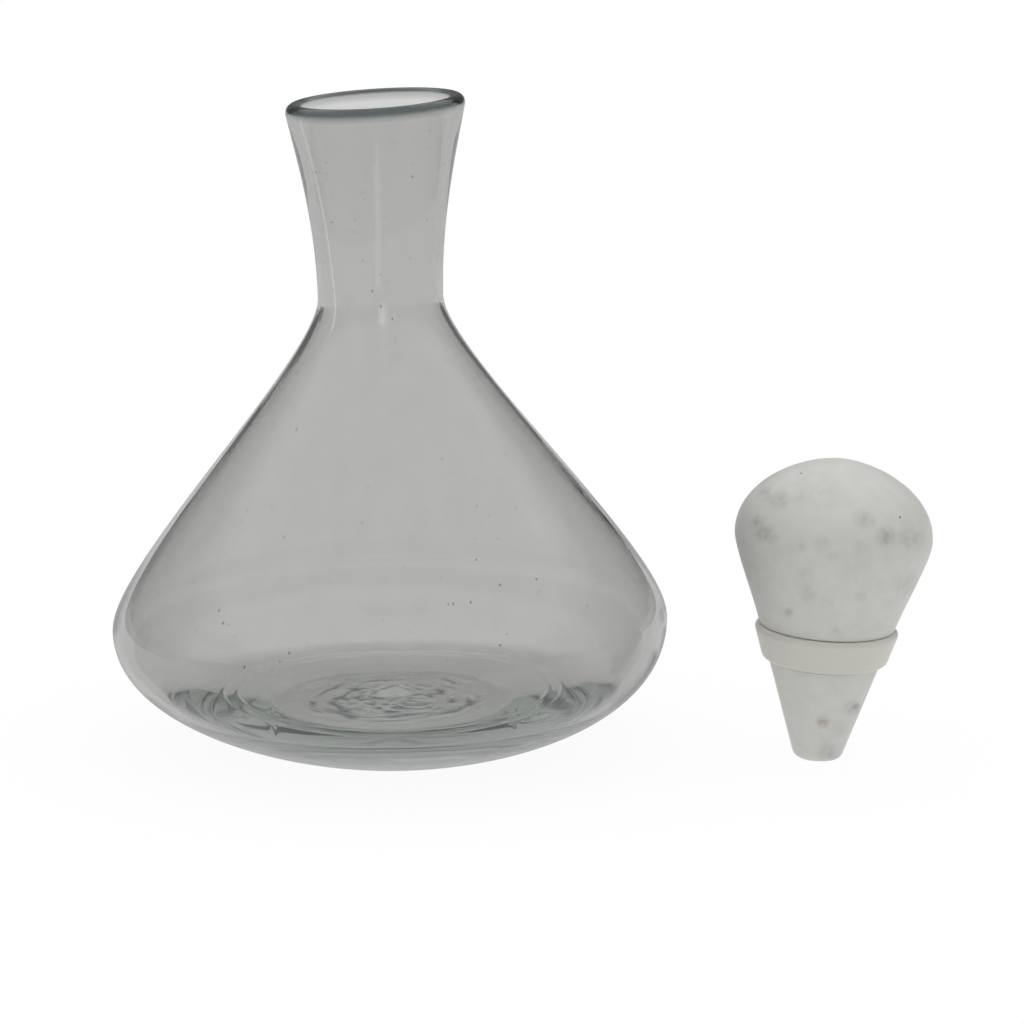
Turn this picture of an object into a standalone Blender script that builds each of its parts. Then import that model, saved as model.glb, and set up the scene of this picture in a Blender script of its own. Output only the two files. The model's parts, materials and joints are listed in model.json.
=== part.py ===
"""Blown glass decanter with its marble stopper, which stands beside it on the table.

Three pieces: the glass vessel, the turned marble stopper, and the silicone ring in the groove of the
stopper's shank, which seals the neck. Metres, +Z up. The origin is on the table, at the middle of the
decanter's foot.
"""

import math

import bpy

# Decanter, outside. A sweep or a fullness is the share of a stretch that its curve keeps its direction for.
BELLY_RADIUS = 0.0900
BELLY_HEIGHT = 0.0403  # the widest circle, above the table
SHOULDER_HEIGHT = 0.1061  # from the widest circle up to the waist
WAIST_RADIUS = 0.0202
NECK_HEIGHT = 0.0638  # from the waist up to the top of the lip
LIP_RADIUS = 0.0286
LIP_FLARE = math.radians(11.2)  # of the neck under the lip, from upright
FOOT_RADIUS = 0.0388
FOOT_RISE = math.radians(13.5)  # of the outside as it leaves the table
FOOT_SWEEP = 0.33
BOWL_FULLNESS = 0.63
BELLY_FULLNESS = 0.178
WAIST_SWEEP_BELOW = 0.173
WAIST_SWEEP_ABOVE = 0.40
LIP_SWEEP = 0.21

# Decanter, glass
BELLY_WALL = 0.0028
NECK_WALL = 0.0035
LIP_THICKNESS = 0.0055  # of the fire-polished bead, wider than the wall under it
FLOOR_THICKNESS = 0.0152  # of the solid base, from the table up to the inner floor
HEEL_RUN = 0.0060  # of the rounding between the inner floor and the wall
HEEL_RISE = 0.0030
HEEL_FULLNESS = 0.60
MOUND_RADIUS = 0.0330
MOUND_HEIGHT = 0.0058  # of the rise in the middle of the inner floor

# Blown by hand: the body leans on its level foot, and the lip isn't square to the neck
BODY_LEAN = math.radians(1.33)
LIP_SKEW = math.radians(2.2)

# Stopper
SEAT_DEPTH = 0.0024  # of the ring's widest circle below the top of the lip, when the neck is closed
SEAL_CLEARANCE = 0.0002  # between the ring and the neck there
TIP_RADIUS = 0.0074
TIP_ROUNDING = 0.0032
SHANK_HEIGHT = 0.0424  # from the tip up to the ring's widest circle
HEAD_OVERHANG = 0.0085  # of the head past the mouth
HEAD_FLARE_HEIGHT = 0.0311  # from the ring's widest circle up to the head's
HEAD_FLARE_SWEEP = 0.41
HEAD_FULLNESS_BELOW = 0.18
DOME_HEIGHT = 0.0246
DOME_FULLNESS = 0.646
DOME_FLATNESS = 0.348
GROOVE_DEPTH = 0.0010

# Seal ring
RING_HEIGHT = 0.0114
RING_PROUD = 0.0018  # of the shank
RING_TOP_ROUNDING = 0.0014
RING_BOTTOM_ROUNDING = 0.0022
FIT_GAP = 0.0003  # all round the ring in its groove

# Where the stopper stands, and how far it leans
STOPPER_CLEAR_OF_BELLY = 0.0468
STOPPER_IN_FRONT = 0.0205
STOPPER_LEAN_ASIDE = math.radians(3.34)
STOPPER_LEAN_FORWARD = math.radians(1.02)

# How finely the curves are cut
TURN_STEPS = 48
SHORT_CURVE_STEPS = 5
CURVE_STEPS = 9
LONG_CURVE_STEPS = 11
WELD = 0.00001
SHARP_EDGE = math.radians(35)
TABLE_MARGIN = 0.01  # of the cutter past the stopper's head
TABLE_DEPTH = 0.02

# What follows from these sizes
waist_height = BELLY_HEIGHT + SHOULDER_HEIGHT
lip_top = waist_height + NECK_HEIGHT
mouth_radius = LIP_RADIUS - LIP_THICKNESS


def bezier(start, start_handle, end_handle, end, steps):
    """Points of a cubic curve, without its first one."""
    points = []
    for step in range(1, steps + 1):
        t = step / steps
        s = 1 - t
        weights = (s**3, 3 * s * s * t, 3 * s * t * t, t**3)
        corners = (start, start_handle, end_handle, end)
        points.append(
            tuple(sum(w * corner[axis] for w, corner in zip(weights, corners)) for axis in (0, 1))
        )
    return points


def arc(center, radius, start, end, steps):
    """Points of a round arc between two angles, both ends included."""
    points = []
    for step in range(steps + 1):
        angle = start + (end - start) * step / steps
        points.append((center[0] + radius * math.cos(angle), center[1] + radius * math.sin(angle)))
    return points


def radius_at(outline, height):
    """Radius of an outline at a height that it passes once."""
    for (r0, z0), (r1, z1) in zip(outline, outline[1:]):
        if z0 != z1 and min(z0, z1) <= height <= max(z0, z1):
            return r0 + (r1 - r0) * (height - z0) / (z1 - z0)
    raise ValueError("the outline doesn't reach this height")


def smooth(share):
    """Eases from 0 to 1 as share goes from 0 to 1."""
    share = min(max(share, 0.0), 1.0)
    return share * share * (3 - 2 * share)


def wall_outline(wall_at_belly, wall_at_waist, lip_radius, lip_height):
    """Side of the vessel from its belly up to the lip, moved inwards by the wall."""
    belly = (BELLY_RADIUS - wall_at_belly, BELLY_HEIGHT)
    waist = (WAIST_RADIUS - wall_at_waist, waist_height)
    lip = (lip_radius, lip_height)
    sweep = LIP_SWEEP * NECK_HEIGHT
    shoulder = bezier(
        belly,
        (belly[0], belly[1] + BELLY_FULLNESS * SHOULDER_HEIGHT),
        (waist[0], waist[1] - WAIST_SWEEP_BELOW * SHOULDER_HEIGHT),
        waist,
        LONG_CURVE_STEPS,
    )
    neck = bezier(
        waist,
        (waist[0], waist[1] + WAIST_SWEEP_ABOVE * NECK_HEIGHT),
        (lip[0] - sweep * math.sin(LIP_FLARE), lip[1] - sweep * math.cos(LIP_FLARE)),
        lip,
        CURVE_STEPS,
    )
    return [belly] + shoulder + neck


def lip_bead():
    """Center of the lip's round section, and its radius."""
    bead = LIP_THICKNESS / 2
    return (LIP_RADIUS - bead, lip_top - bead), bead


def outer_side():
    (middle, height), bead = lip_bead()
    edge = (middle + bead * math.cos(LIP_FLARE), height - bead * math.sin(LIP_FLARE))
    return wall_outline(0.0, 0.0, *edge)


def inner_side():
    (middle, height), bead = lip_bead()
    edge = (middle - bead * math.cos(LIP_FLARE), height + bead * math.sin(LIP_FLARE))
    return wall_outline(BELLY_WALL, NECK_WALL, *edge)


def bowl():
    """Outside of the bowl, from the belly down to the edge of the foot."""
    belly = (BELLY_RADIUS, BELLY_HEIGHT)
    foot = (FOOT_RADIUS, 0.0)
    sweep = FOOT_SWEEP * (BELLY_RADIUS - FOOT_RADIUS)
    return [belly] + bezier(
        belly,
        (belly[0], belly[1] * (1 - BOWL_FULLNESS)),
        (foot[0] + sweep * math.cos(FOOT_RISE), sweep * math.sin(FOOT_RISE)),
        foot,
        LONG_CURVE_STEPS,
    )


def moved_in(points, distance):
    """A curve that starts straight down and runs inwards, moved into the vessel, without its end."""
    moved = [(points[0][0] - distance, points[0][1])]
    for before, here, after in zip(points, points[1:], points[2:]):
        run = after[0] - before[0]
        fall = after[1] - before[1]
        share = distance / math.hypot(run, fall)
        moved.append((here[0] + fall * share, here[1] - run * share))
    return moved


def base_inside():
    """From the middle of the mound, over the thick floor and its rounded heel, up to the belly."""
    top_of_mound = (0.0, FLOOR_THICKNESS + MOUND_HEIGHT)
    foot_of_mound = (MOUND_RADIUS, FLOOR_THICKNESS)
    mound = bezier(
        top_of_mound,
        (MOUND_RADIUS / 2, top_of_mound[1]),
        (MOUND_RADIUS / 2, FLOOR_THICKNESS),
        foot_of_mound,
        SHORT_CURVE_STEPS,
    )
    wall = moved_in(bowl(), BELLY_WALL)
    corner = (radius_at(wall, FLOOR_THICKNESS), FLOOR_THICKNESS)
    floor_edge = (corner[0] - HEEL_RUN, FLOOR_THICKNESS)
    wall_above = [point for point in wall if point[1] > FLOOR_THICKNESS + HEEL_RISE]
    wall_end = wall_above[-1]
    heel = bezier(
        floor_edge,
        (floor_edge[0] + HEEL_FULLNESS * HEEL_RUN, floor_edge[1]),
        tuple(end + HEEL_FULLNESS * (at - end) for end, at in zip(wall_end, corner)),
        wall_end,
        SHORT_CURVE_STEPS,
    )
    return [top_of_mound] + mound + [floor_edge] + heel + wall_above[-2::-1]


def vessel_outline():
    """From the middle of the inner floor, up inside, over the lip, and down outside to the foot."""
    center, bead = lip_bead()
    lip = arc(center, bead, math.pi - LIP_FLARE, -LIP_FLARE, CURVE_STEPS)
    return base_inside() + inner_side()[1:] + lip[1:] + outer_side()[-2::-1] + bowl()[1:] + [(0.0, 0.0)]


ring_radius = radius_at(inner_side(), lip_top - SEAT_DEPTH) - SEAL_CLEARANCE
shank_radius = ring_radius - RING_PROUD
shank_slope = math.atan2(shank_radius - TIP_RADIUS, SHANK_HEIGHT)
ring_top = SHANK_HEIGHT + RING_TOP_ROUNDING
ring_bottom = ring_top - RING_HEIGHT
head_radius = mouth_radius + HEAD_OVERHANG
head_height = SHANK_HEIGHT + HEAD_FLARE_HEIGHT
stopper_top = head_height + DOME_HEIGHT
# Radius of the flat end of the tip, inside its rounding
tip_flat = TIP_RADIUS - TIP_ROUNDING * (1 - math.sin(shank_slope)) / math.cos(shank_slope)
stopper_lean = math.hypot(STOPPER_LEAN_ASIDE, STOPPER_LEAN_FORWARD)
stopper_place = (BELLY_RADIUS + STOPPER_CLEAR_OF_BELLY, -STOPPER_IN_FRONT)


def shank(height, inset=0.0):
    """Point on the cone of the shank, or inset from it."""
    return (TIP_RADIUS + height * math.tan(shank_slope) - inset, height)


def stopper_outline():
    """From the top of the dome down to the middle of the tip."""
    widest = (head_radius, head_height)
    flare_start = shank(ring_top + FIT_GAP)
    flare_rise = head_height - flare_start[1]
    sweep = HEAD_FLARE_SWEEP * flare_rise
    dome = bezier(
        (0.0, stopper_top),
        (DOME_FLATNESS * head_radius, stopper_top),
        (head_radius, head_height + DOME_FULLNESS * DOME_HEIGHT),
        widest,
        LONG_CURVE_STEPS,
    )
    flare = bezier(
        widest,
        (head_radius, head_height - HEAD_FULLNESS_BELOW * flare_rise),
        (flare_start[0] + sweep * math.sin(shank_slope), flare_start[1] + sweep * math.cos(shank_slope)),
        flare_start,
        CURVE_STEPS,
    )
    groove = [
        shank(ring_top + FIT_GAP, GROOVE_DEPTH),
        shank(ring_bottom - FIT_GAP, GROOVE_DEPTH),
        shank(ring_bottom - FIT_GAP),
    ]
    tip = arc((tip_flat, TIP_ROUNDING), TIP_ROUNDING, -shank_slope, -math.pi / 2, SHORT_CURVE_STEPS)
    return [(0.0, stopper_top)] + dome + flare + groove + tip + [(0.0, 0.0)]


def ring_outline():
    """Section of the ring, from its inner top edge down its outer side and back up."""
    inset = GROOVE_DEPTH - FIT_GAP
    top_inside = shank(ring_top, inset)
    bottom_inside = shank(ring_bottom, inset)
    top_center = (ring_radius - RING_TOP_ROUNDING, ring_top - RING_TOP_ROUNDING)
    low = ring_bottom + RING_BOTTOM_ROUNDING
    low_radius = shank(low)[0] + RING_PROUD
    bottom_center = (low_radius - RING_BOTTOM_ROUNDING, low)
    outside = arc(top_center, RING_TOP_ROUNDING, math.pi / 2, -shank_slope, SHORT_CURVE_STEPS)
    outside += arc(bottom_center, RING_BOTTOM_ROUNDING, -shank_slope, -math.pi / 2, SHORT_CURVE_STEPS)
    return [top_inside] + outside + [bottom_inside]


def material(name, color, roughness, transmission=0.0, ior=1.5):
    made = bpy.data.materials.new(name)
    made.use_nodes = True
    made.diffuse_color = (*color, 1.0)
    shader = made.node_tree.nodes["Principled BSDF"]
    shader.inputs["Base Color"].default_value = (*color, 1.0)
    shader.inputs["Roughness"].default_value = roughness
    shader.inputs["Metallic"].default_value = 0.0
    shader.inputs["Transmission Weight"].default_value = transmission
    shader.inputs["IOR"].default_value = ior
    return made


def turned(name, outline, made_of, collection, closed=False):
    """An outline in the XZ plane turned round Z."""
    mesh = bpy.data.meshes.new(name)
    edges = [(i, i + 1) for i in range(len(outline) - 1)]
    if closed:
        edges.append((len(outline) - 1, 0))
    mesh.from_pydata([(r, 0.0, z) for r, z in outline], edges, [])
    mesh.materials.append(made_of)
    piece = bpy.data.objects.new(name, mesh)
    collection.objects.link(piece)
    screw = piece.modifiers.new("Turn", "SCREW")
    screw.axis = "Z"
    screw.steps = TURN_STEPS
    screw.render_steps = TURN_STEPS
    screw.use_merge_vertices = True
    screw.merge_threshold = WELD
    screw.use_normal_calculate = True
    return piece


def make_solid(piece):
    """Replaces the piece's outline and its modifiers by the mesh that they make."""
    bpy.context.view_layer.update()
    mesh = bpy.data.meshes.new_from_object(piece.evaluated_get(bpy.context.evaluated_depsgraph_get()))
    piece.modifiers.clear()
    piece.data = mesh


def shade(piece):
    piece.data.shade_smooth()
    piece.data.set_sharp_from_angle(angle=SHARP_EDGE)


def lean_and_skew(x, z):
    """Where a point of the true turned vessel lies on the one that was blown by hand."""
    lean = BODY_LEAN * smooth(z / BELLY_HEIGHT)
    z += x * math.tan(LIP_SKEW) * smooth((z - waist_height) / NECK_HEIGHT)
    return x * math.cos(lean) - z * math.sin(lean), z * math.cos(lean) + x * math.sin(lean)


def make_decanter(collection):
    glass = material("smoky_green_glass", (0.52, 0.57, 0.55), 0.03, transmission=1.0, ior=1.52)
    piece = turned("glass_decanter", vessel_outline(), glass, collection)
    make_solid(piece)
    for vertex in piece.data.vertices:
        vertex.co.x, vertex.co.z = lean_and_skew(vertex.co.x, vertex.co.z)
    shade(piece)
    return piece


def make_table_cutter(collection):
    """A block under the table's top, which grinds the leaning stopper's tip level."""
    width = 2 * (head_radius + TABLE_MARGIN)
    bpy.ops.mesh.primitive_cube_add(size=1.0)
    cutter = bpy.context.object
    cutter.name = "table_cutter"
    for vertex in cutter.data.vertices:
        vertex.co.x *= width
        vertex.co.y *= width
        vertex.co.z = (vertex.co.z - 0.5) * TABLE_DEPTH
    for old in list(cutter.users_collection):
        old.objects.unlink(cutter)
    collection.objects.link(cutter)
    cutter.location = (*stopper_place, 0.0)
    cutter.hide_render = True
    cutter.display_type = "WIRE"
    return cutter


def make_stopper(collection, cutter):
    """The marble and its ring, on an empty at the tip that leans with them."""
    marble = material("honed_white_marble", (0.52, 0.52, 0.50), 0.55)
    silicone = material("clear_silicone", (0.46, 0.43, 0.39), 0.45)
    stand = bpy.data.objects.new("stopper_stand", None)
    collection.objects.link(stand)
    sunk = tip_flat * math.sin(stopper_lean)
    stand.location = (*stopper_place, -sunk)
    stand.rotation_euler = (STOPPER_LEAN_FORWARD, STOPPER_LEAN_ASIDE, 0.0)

    stopper = turned("marble_stopper", stopper_outline(), marble, collection)
    ring = turned("seal_ring", ring_outline(), silicone, collection, closed=True)
    for piece in (stopper, ring):
        make_solid(piece)
        shade(piece)
        piece.parent = stand
    grind = stopper.modifiers.new("Grind tip level", "BOOLEAN")
    grind.operation = "DIFFERENCE"
    grind.solver = "EXACT"
    grind.object = cutter


def main():
    for old in list(bpy.data.objects):
        bpy.data.objects.remove(old)
    collections = []
    for name in ("glass_decanter", "cutters"):
        made = bpy.data.collections.new(name)
        bpy.context.scene.collection.children.link(made)
        collections.append(made)
    model, cutters = collections
    make_decanter(model)
    make_stopper(model, make_table_cutter(cutters))


main()
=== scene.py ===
"""Looks of a blown glass decanter and its marble stopper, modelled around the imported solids.

Laid out as a Blender add-on: an operator models each piece, one sets the stage, and the panel in the 3D
view's sidebar lists them. Metres, +Z up, and the camera looks along +Y.
"""
import json
import math
import random

import bpy
import numpy as np
from bpy.props import FloatProperty, FloatVectorProperty, IntProperty, PointerProperty
from mathutils import Euler, Matrix, Vector, noise


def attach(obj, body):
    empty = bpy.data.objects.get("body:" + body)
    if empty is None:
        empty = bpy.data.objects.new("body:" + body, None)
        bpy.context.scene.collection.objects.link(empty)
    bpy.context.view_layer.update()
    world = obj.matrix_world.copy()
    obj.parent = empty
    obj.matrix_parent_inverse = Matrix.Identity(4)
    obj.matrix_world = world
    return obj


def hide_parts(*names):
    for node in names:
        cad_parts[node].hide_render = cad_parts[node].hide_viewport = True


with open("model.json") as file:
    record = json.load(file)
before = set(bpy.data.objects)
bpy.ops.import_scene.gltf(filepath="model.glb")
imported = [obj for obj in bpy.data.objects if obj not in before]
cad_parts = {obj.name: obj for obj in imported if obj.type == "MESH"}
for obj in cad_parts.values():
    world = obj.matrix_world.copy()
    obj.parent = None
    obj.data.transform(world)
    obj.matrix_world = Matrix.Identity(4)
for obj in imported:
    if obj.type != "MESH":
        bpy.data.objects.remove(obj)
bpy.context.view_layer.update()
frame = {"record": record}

bl_info = {
    "name": "Blown glass decanter",
    "version": (1, 0, 0),
    "blender": (4, 5, 0),
    "location": "3D View > Sidebar > Decanter",
    "description": "Models a blown glass decanter with its marble stopper and silicone seal ring",
    "category": "Object",
}

MM = 0.001


# Settings

def linear(code):
    """Linear red, green and blue of an sRGB hex colour."""
    shares = [int(code[i:i + 2], 16) / 255 for i in (1, 3, 5)]
    return tuple(c / 12.92 if c <= 0.04045 else ((c + 0.055) / 1.055) ** 2.4 for c in shares)


def length(name, value, text):
    return FloatProperty(name=name, description=text, default=value, min=0.0, unit="LENGTH", precision=5)


def angle(name, degrees, text):
    return FloatProperty(name=name, description=text, default=math.radians(degrees), subtype="ANGLE")


def share(name, value, text):
    return FloatProperty(name=name, description=text, default=value, min=0.0, subtype="FACTOR")


def colour(name, code, text):
    return FloatVectorProperty(
        name=name, description=text, default=linear(code), size=3, min=0.0, max=1.0, subtype="COLOR"
    )


class GlassSettings(bpy.types.PropertyGroup):
    """Sizes and tints of the vessel"""

    belly_radius: length("Belly radius", 0.0900, "Radius of the widest circle")
    belly_height: length("Belly height", 0.0403, "Height of the widest circle above the table")
    shoulder_height: length("Shoulder height", 0.1061, "From the widest circle up to the waist")
    waist_radius: length("Waist radius", 0.0202, "Narrowest outside radius, under the neck")
    neck_height: length("Neck height", 0.06377, "From the waist up to the top of the lip")
    lip_radius: length("Lip radius", 0.0286, "Outside radius of the lip")
    lip_thickness: length("Lip thickness", 0.0055, "Thickness of the fire-polished bead of the lip")
    lip_flare: angle("Lip flare", 11.2, "Angle of the neck under the lip, from upright")
    foot_radius: length("Foot radius", 0.0388, "Radius of the flat that the vessel stands on")
    foot_rise: angle("Foot rise", 13.5, "Angle of the outside as it leaves the table")
    belly_wall: length("Belly wall", 0.0022, "Thickness of the wall at the belly")
    neck_wall: length("Neck wall", 0.0022, "Thickness of the wall at the waist")
    floor_thickness: length("Floor thickness", 0.0152, "Thickness of the solid base under the inner floor")
    body_lean: angle("Body lean", 1.33, "Lean of the body on its level foot")
    lip_skew: angle("Lip skew", 2.2, "Slope of the lip across the neck")
    seed_count: IntProperty(name="Seeds", description="Number of bubbles in the wall", default=320, min=0)
    tint: colour("Tint", "#B5B5B3", "Smoky tint of the outer skin")
    # painted shade on the reflections: a dark tint on what the skin mirrors above the heel, and a black film
    # at a low angle
    mirror_shade_tint: colour("Mirror tint", "#4A5452", "What the smoky skin leaves of the light that it mirrors")
    mirror_shade_loss: share("Mirror loss", 0.60, "Share that the skin swallows of what it mirrors at a low angle")
    # painted shade: the dark that totally reflected light gives the lip's rim and the ripples under the base,
    # painted into the glass's colour
    painted_shade_tint: colour("Dark tint", "#26302F", "Tint of the rim of the lip, and of the ripples under the base")
    depth_tint: colour("Depth tint", "#A6B8B2", "Green of the glass where it is thick")
    depth: FloatProperty(name="Depth", description="Depth tint per metre of glass", default=8.0, min=0.0)


class StopperSettings(bpy.types.PropertyGroup):
    """Sizes and colours of the stopper and its ring"""

    seat_depth: length("Seat depth", 0.0024, "Depth under the lip's top where the ring meets the neck")
    seal_clearance: length("Seal clearance", 0.0002, "From the ring's widest circle to the neck around it")
    ring_proud: length("Ring proud", 0.0018, "How far the ring stands proud of the shank")
    ring_height: length("Ring height", 0.0114, "Height of the ring")
    tip_radius: length("Tip radius", 0.0074, "Radius of the tip, before it is rounded")
    tip_rounding: length("Tip rounding", 0.0032, "Rounding of the tip's edge")
    shank_height: length("Shank height", 0.0424, "From the tip up to the ring's widest circle")
    head_overhang: length("Head overhang", 0.00845, "How far the head stands out past the mouth")
    flare_height: length("Flare height", 0.0311, "From the ring's widest circle up to the head's")
    dome_height: length("Dome height", 0.0246, "From the widest circle of the head up to its top")
    groove_depth: length("Groove depth", 0.0010, "Depth of the groove for the ring")
    lean_aside: angle("Lean aside", 3.34, "Lean of the standing stopper away from the decanter")
    lean_forward: angle("Lean forward", 1.02, "Lean of the standing stopper towards the viewer")
    marble: colour("Marble", "#C8C8C4", "Ground colour of the marble")
    vein: colour("Vein", "#8F8F8C", "Colour of the grey clouds")
    rust: colour("Rust", "#8C7A66", "Colour of the brown spots")
    speck: colour("Speck", "#55554F", "Colour of the dark grains")
    silicone: colour("Silicone", "#E9E6DF", "Tint of the silicone")
    silicone_edge: colour("Silicone edge", "#AFA68E", "Colour of the ring's edges against the marble")


class StageSettings(bpy.types.PropertyGroup):
    """Place of the camera, and the floor and the light"""

    eye_height: length("Camera height", 0.394, "Height of the camera above the table")
    eye_distance: length("Camera distance", 1.5, "Distance of the camera in front of the decanter's middle")
    eye_aside: length("Camera aside", 0.0386, "Place of the camera towards the stopper")
    eye_pitch: angle("Camera pitch", 11.97, "How far the camera looks down")
    lens: FloatProperty(name="Lens", description="Focal length in millimetres", default=166.9, min=1.0)
    paper: colour("Paper", "#FFFFFF", "Colour of the paper on the floor")
    glow: share("Glow", 0.94, "Share of the paper's brightness that doesn't depend on the light")
    low_sky: share("Low light", 0.24, "Brightness of the room near the horizon")
    high_sky: share("High light", 1.30, "Brightness of the ceiling")


# Curves shared with the solids: a sweep or a fullness is the share of a stretch that keeps its direction
FOOT_SWEEP = 0.33
BOWL_FULLNESS = 0.63
BELLY_FULLNESS = 0.178
WAIST_SWEEP_BELOW = 0.173
WAIST_SWEEP_ABOVE = 0.40
LIP_SWEEP = 0.21
HEAD_FLARE_SWEEP = 0.41
HEAD_FULLNESS_BELOW = 0.18
DOME_FULLNESS = 0.646
DOME_FLATNESS = 0.348
RING_TOP_ROUNDING = 0.0014
RING_BOTTOM_ROUNDING = 0.0022
FIT_GAP = 0.0003
EDGE_WIDTH = 0.2  # share of a side of the ring's section that takes the olive-brown edge colour at its corner

# The base of the glass
HEEL_RISE = 0.0030  # height of the rounding between the inner floor and the wall
HEEL_RUN = 0.0060  # its width
HEEL_FULLNESS = 0.60
MOUND_RADIUS = 0.0085
MOUND_HEIGHT = 0.0021
SHADED_MIRROR_HEIGHTS = (0.015, 0.035)  # between them the painted shade on the skin's reflections begins
CREASES = ((0.0320, 0.00006), (0.0510, 0.00018), (0.0555, 0.00018))  # radius and height
CREASE_WIDTH = 0.0012
CREASE_CLEAR = 1.2  # how many widths off a crease the plain radii begin again
CREASE_STEPS = 4
RIPPLE_HEIGHT = 0.00030
RIPPLE_PAINTED_SHADE = 0.90  # share of the painted shade on the crests
RIPPLE_CREST = (0.55, 0.25)  # share of a ripple where the painted shade starts, and over which it deepens
RIPPLE_LENGTH = 0.0060  # from crest to crest, outwards from the middle
RIPPLE_SPREAD = 0.0140  # along a crest
RIPPLE_REACH = (0.0250, 0.0370)  # radii between which the ripples fade
RIPPLE_DRAW = 3.7  # where in the noise the ripples are taken from

# What the hand left in the wall
RIM_OUTSIDE = (0.0046, 0.0016)  # depths under the lip's top where the painted shade of its rim starts and is full
RIM_INSIDE = (0.0016, 0.0008)
EVEN_BELOW = 0.012  # the wall is even at the heel and at the lip
EVEN_FADE = 0.030
SKIN_DRAW = 7.0  # how far apart in the noise the waves of the inside and the outside are taken
WAVE_HEIGHT = 0.00022
WAVE_LENGTH = 0.038
CORD_HEIGHT = 0.00005
CORD_LENGTH = 0.090
CORDS_AROUND = 9.0
CORD_TWIST = 6.0  # radians per metre of height
THREAD_ASIDE = -0.0036  # a thread of glass that ran down the front of the neck and ends in a drop
THREAD_TOP = 0.205
THREAD_END = 0.1500
THREAD_FADES = (0.015, 0.004)  # at its top and at its end
THREAD_WIDTH = 0.0016
DROP_PLACE = (-0.0023, 0.1437)
DROP_WIDTH = 0.0022
DROP_STRETCH = 2.2
SCRATCH_TURN = (0.925, 0.777)  # its angles from the front at two heights
SCRATCH_HEIGHTS = (0.200, 0.150)
SCRATCH_TOP = 0.212
SCRATCH_FADE = 0.006
SCRATCH_WIDTH = 0.0006
MARK_HEIGHTS = (0.00016, 0.0007, 0.00008)  # of the thread, the drop and the scratch
MARK_PAINTED_LIGHT = (0.14, 0.40, 0.50)  # shares of the smoky tint taken off them, a painted highlight along the marks
SEED_SIZE = 0.00010  # radius of the smallest bubbles
SEED_SPREAD = 0.00020  # how much larger the largest are
SEED_STRETCH = (1.0, 2.2)
SEED_DEPTHS = (0.35, 0.65)  # shares of the wall

# Patterns in the materials
GLASS_IOR = 1.52
STREAK_SIZES = (0.009, 0.009, 0.060)  # of the streaks in the smoky skin
STREAK_RANGE = (0.95, 1.05)
MOTTLE_SIZE = 0.005
MOTTLE_RANGE = (0.90, 1.08)
BREAK_SIZE = 0.0022  # of the gaps in the clouds
GRIT_SIZE = 0.0006  # coarser than the real grit, which is too fine to show
GRIT_HEIGHT = 0.00006
HAZE_SIZE = 0.004
HAZE_ROUGHNESS = (0.34, 0.46)

# Grey clouds as the viewer sees them: mm aside of the stopper's tip, mm above it, size in mm, and strength
CLOUDS = (
    (-21.4, 83.5, 2.2, 0.55), (-19.0, 79.7, 2.8, 0.75), (-16.4, 77.8, 2.0, 0.50), (-18.4, 92.8, 2.4, 0.45),
    (-14.6, 91.0, 3.2, 0.65), (-7.0, 92.5, 5.0, 0.22), (1.0, 93.8, 5.0, 0.20), (11.8, 84.6, 2.8, 0.50),
    (14.6, 83.6, 1.6, 0.40), (19.0, 78.4, 3.0, 0.85), (17.2, 77.8, 1.6, 0.40), (26.6, 77.4, 4.0, 0.40),
    (-7.0, 75.2, 1.4, 0.35), (-0.6, 75.6, 2.6, 0.32), (10.8, 74.8, 2.4, 0.22), (-5.6, 58.6, 2.8, 0.42),
    (-6.4, 64.6, 3.4, 0.22), (2.4, 71.4, 2.2, 0.22), (-23.6, 67.0, 2.6, 0.20), (25.6, 61.6, 4.0, 0.42),
    (8.0, 67.2, 5.4, 0.16), (0.6, 55.8, 2.4, 0.22), (-11.4, 52.6, 1.6, 0.30), (3.2, 46.0, 2.2, 0.30),
    (8.6, 19.6, 2.6, 0.55), (4.2, 12.4, 3.0, 0.25), (1.0, 4.8, 3.2, 0.50), (-4.2, 36.0, 3.6, 0.16),
)
RUST_SPOTS = (
    (9.4, 20.4, 1.2, 0.80), (-0.8, 15.0, 1.9, 0.90), (10.8, 58.0, 2.0, 0.30), (-11.6, 52.4, 1.4, 0.35),
)
SPECKS = ((-6.8, 94.8), (23.6, 83.2))  # dark grains: aside of the tip and height, in mm
SPECK_SIZE = 0.0005
SPOT_DISTANCE = 1.488  # from the viewer to the front of the stopper's head
SPOT_LEVEL = 0.08684  # height there of the middle of the view
SPOT_RISE = 1.091  # height on the upright plane for each unit of height across the view
CLOUD_REACH = 1.6  # sizes from a cloud's middle to its soft edge
FRONT_FADE = 0.012  # depth over which the painted side gives way to the far side
FAR_CLOUD_SIZE = 0.011
FAR_CLOUD_LEVEL = (0.25, 0.6)  # level of the noise where a far cloud starts, and over which it deepens

# The stage
FLOOR_SIZE = 30.0
FLOOR_DROP = 0.0002  # the floor lies this far under the pieces, so that no faces coincide
SKY_RISE = (0.42, 0.60)  # sines of the angles above the horizon between which the light grows
SENSOR_WIDTH = 36.0
BOUNCES = 48

# How finely the pieces are cut
SHOULDER_STEPS = 32
NECK_STEPS = 30
BOWL_STEPS = 36
HEEL_STEPS = 8
LIP_STEPS = 16
GLASS_TURN = 330
BASE_STEP = 0.0012
DOME_STEPS = 60
FLARE_STEPS = 44
SHANK_STEPS = 36
STONE_TURN = 256
ROUNDING_STEPS = 12
RING_TURN = 192
WELD = 0.000001
SHARP_EDGE = math.radians(35)


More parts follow.
